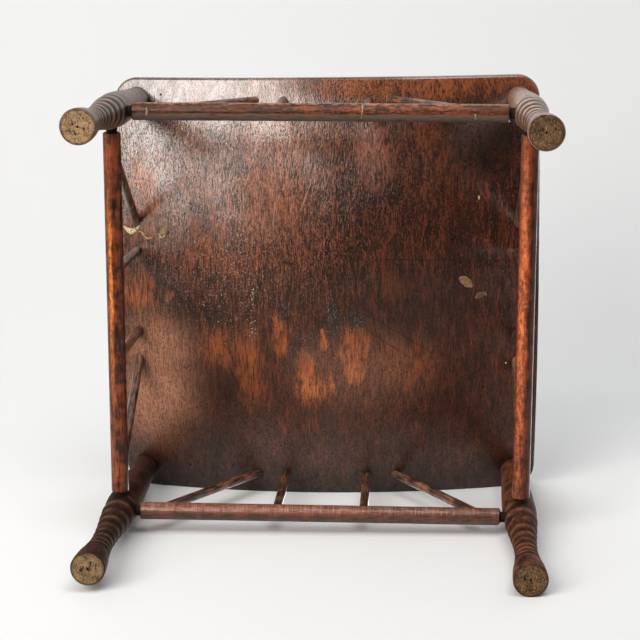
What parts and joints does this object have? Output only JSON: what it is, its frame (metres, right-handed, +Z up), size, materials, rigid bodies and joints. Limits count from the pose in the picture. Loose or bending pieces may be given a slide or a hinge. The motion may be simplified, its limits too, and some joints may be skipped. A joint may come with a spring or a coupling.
{
  "type": "low stool",
  "caption": "Low square stool with a dished seat board on ring-turned legs, tied by round stretchers, with slender uprights and slanting braces between stretchers and seat",
  "frame": {"origin": "on the floor under the middle of the seat", "axes": "+Z up, -Y the front side, +X the right side seen from the front"},
  "size_m": [0.42, 0.42, 0.3361],
  "materials": {
    "seat_wood": "worn dark stain",
    "leg_wood": "worn dark stain, waxed",
    "stretcher_wood": "worn reddish stain, waxed",
    "spindle_wood": "worn dark stain"
  },
  "bodies": {
    "root": {"seat_board": "seat_wood", "leg_back_right": "leg_wood", "leg_back_left": "leg_wood", "leg_front_left": "leg_wood", "leg_front_right": "leg_wood", "stretcher_right": "stretcher_wood", "stretcher_back": "stretcher_wood", "stretcher_left": "stretcher_wood", "stretcher_front": "stretcher_wood", "right_upright_1": "spindle_wood", "right_upright_2": "spindle_wood", "right_brace_1": "spindle_wood", "right_brace_2": "spindle_wood", "back_upright_1": "spindle_wood", "back_upright_2": "spindle_wood", "back_brace_1": "spindle_wood", "back_brace_2": "spindle_wood", "left_upright_1": "spindle_wood", "left_upright_2": "spindle_wood", "left_brace_1": "spindle_wood", "left_brace_2": "spindle_wood", "front_upright_1": "spindle_wood", "front_upright_2": "spindle_wood", "front_brace_1": "spindle_wood", "front_brace_2": "spindle_wood"}
  },
  "joints": []
}
